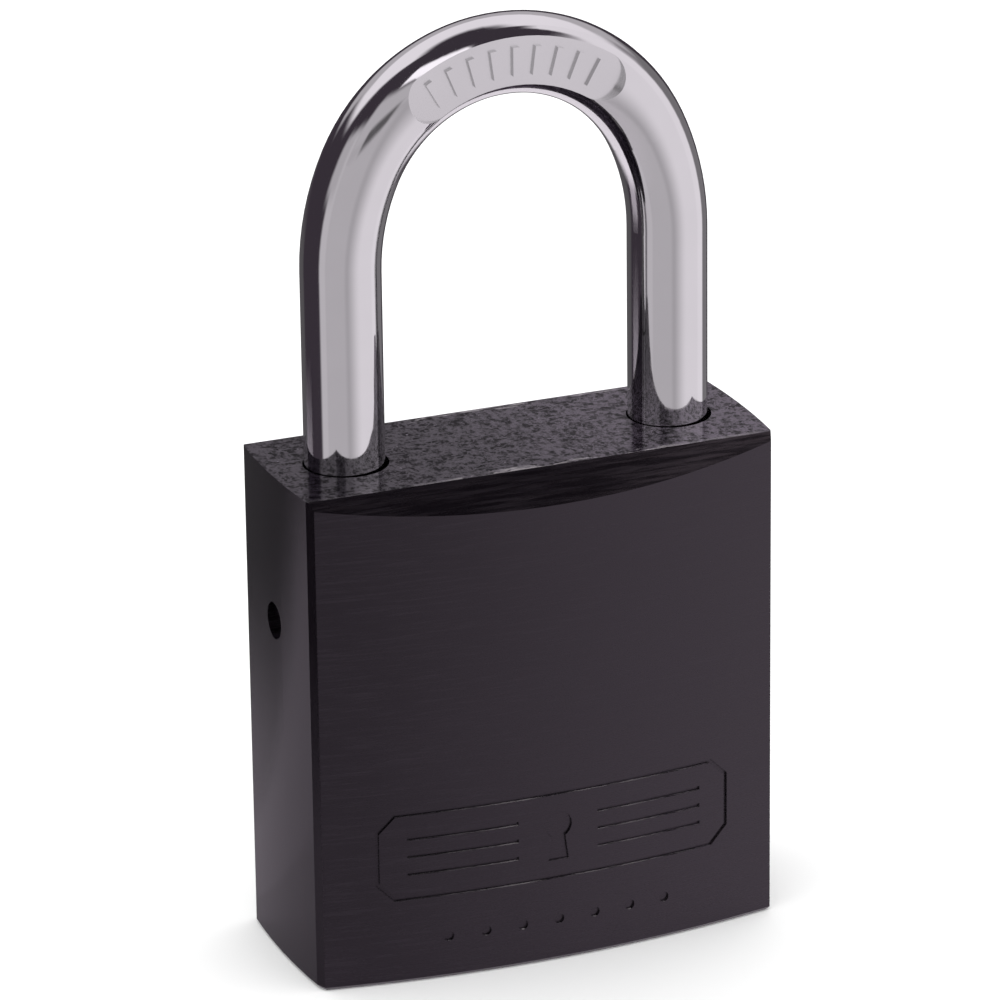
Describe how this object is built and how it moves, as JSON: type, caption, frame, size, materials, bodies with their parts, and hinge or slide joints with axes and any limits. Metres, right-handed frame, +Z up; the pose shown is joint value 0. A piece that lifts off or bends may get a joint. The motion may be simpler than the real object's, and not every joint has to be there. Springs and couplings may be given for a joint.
{
  "type": "padlock",
  "caption": "Block padlock with bulged faces and bevelled top, a round bow shackle held by locking balls, and a pin tumbler cylinder in its base.",
  "frame": {"origin": "middle of the base, on the face that the lock stands on", "axes": "+Z up through the shackle, -Y the engraved front, -X the side of the heel leg and its retaining pin"},
  "size_m": [0.04, 0.0194, 0.0761],
  "materials": {
    "anodised_body": "black anodised, finely brushed across",
    "chrome_shackle": "polished hard chrome",
    "spring_steel": "bright drawn wire and strip",
    "pin_steel": "hardened, dark",
    "ball_steel": "polished",
    "housing_brass": "turned",
    "plug_brass": "turned and broached",
    "pin_brass": "turned"
  },
  "bodies": {
    "case": {"lock_body": "anodised_body", "shackle_spring": "spring_steel", "shackle_retaining_pin": "pin_steel", "cylinder_housing": "housing_brass", "cylinder_screw": "pin_steel", "chamber_plug_1": "pin_brass", "chamber_plug_2": "pin_brass", "chamber_plug_3": "pin_brass", "chamber_plug_4": "pin_brass", "chamber_plug_5": "pin_brass", "pin_spring_1": "spring_steel", "pin_spring_2": "spring_steel", "pin_spring_3": "spring_steel", "pin_spring_4": "spring_steel", "pin_spring_5": "spring_steel"},
    "shackle": {"shackle": "chrome_shackle"},
    "plug": {"cylinder_plug": "plug_brass", "plug_clip": "spring_steel", "locking_cam": "pin_steel"},
    "heel_ball": {"heel_ball": "ball_steel"},
    "toe_ball": {"toe_ball": "ball_steel"},
    "key_pin_1": {"key_pin_1": "pin_brass"},
    "key_pin_2": {"key_pin_2": "pin_brass"},
    "key_pin_3": {"key_pin_3": "pin_brass"},
    "key_pin_4": {"key_pin_4": "pin_brass"},
    "key_pin_5": {"key_pin_5": "pin_brass"},
    "driver_pin_1": {"driver_pin_1": "pin_brass"},
    "driver_pin_2": {"driver_pin_2": "pin_brass"},
    "driver_pin_3": {"driver_pin_3": "pin_brass"},
    "driver_pin_4": {"driver_pin_4": "pin_brass"},
    "driver_pin_5": {"driver_pin_5": "pin_brass"}
  },
  "joints": [
    {"name": "shackle_lift", "type": "slide", "parent": "case", "child": "shackle", "axis": [0, 0, 1], "range_m": [0, 0.0145], "deforming": ["shackle_spring"]},
    {"name": "plug_turn", "type": "hinge", "parent": "case", "child": "plug", "pos_m": [0, 0, 0.0005], "axis": [0, 0, 1], "range_deg": [0, 90]},
    {"name": "heel_ball_slide", "type": "slide", "parent": "case", "child": "heel_ball", "axis": [-1, 0, 0], "range_m": [0, 0.00176]},
    {"name": "toe_ball_slide", "type": "slide", "parent": "case", "child": "toe_ball", "axis": [1, 0, 0], "range_m": [0, 0.00176]},
    {"name": "key_pin_1_slide", "type": "slide", "parent": "plug", "child": "key_pin_1", "axis": [0, 1, 0], "range_m": [0, 0.00126]},
    {"name": "key_pin_2_slide", "type": "slide", "parent": "plug", "child": "key_pin_2", "axis": [0, 1, 0], "range_m": [0, 0.00066]},
    {"name": "key_pin_3_slide", "type": "slide", "parent": "plug", "child": "key_pin_3", "axis": [0, 1, 0], "range_m": [0, 0.00146]},
    {"name": "key_pin_4_slide", "type": "slide", "parent": "plug", "child": "key_pin_4", "axis": [0, 1, 0], "range_m": [0, 0.00086]},
    {"name": "key_pin_5_slide", "type": "slide", "parent": "plug", "child": "key_pin_5", "axis": [0, 1, 0], "range_m": [0, 0.00106]},
    {"name": "driver_pin_1_slide", "type": "slide", "parent": "case", "child": "driver_pin_1", "axis": [1, 0, 0], "range_m": [0, 0.0015], "stiffness_N_per_m": 100, "springref_m": -0.002, "deforming": ["pin_spring_1"]},
    {"name": "driver_pin_2_slide", "type": "slide", "parent": "case", "child": "driver_pin_2", "axis": [1, 0, 0], "range_m": [0, 0.0015], "stiffness_N_per_m": 100, "springref_m": -0.002, "deforming": ["pin_spring_2"]},
    {"name": "driver_pin_3_slide", "type": "slide", "parent": "case", "child": "driver_pin_3", "axis": [1, 0, 0], "range_m": [0, 0.0015], "stiffness_N_per_m": 100, "springref_m": -0.002, "deforming": ["pin_spring_3"]},
    {"name": "driver_pin_4_slide", "type": "slide", "parent": "case", "child": "driver_pin_4", "axis": [1, 0, 0], "range_m": [0, 0.0015], "stiffness_N_per_m": 100, "springref_m": -0.002, "deforming": ["pin_spring_4"]},
    {"name": "driver_pin_5_slide", "type": "slide", "parent": "case", "child": "driver_pin_5", "axis": [1, 0, 0], "range_m": [0, 0.0015], "stiffness_N_per_m": 100, "springref_m": -0.002, "deforming": ["pin_spring_5"]}
  ],
  "couplings": [
    {"joint": "heel_ball_slide", "follows": "plug_turn", "m_per_rad": 0.0011141},
    {"joint": "toe_ball_slide", "follows": "plug_turn", "m_per_rad": 0.0011141}
  ]
}
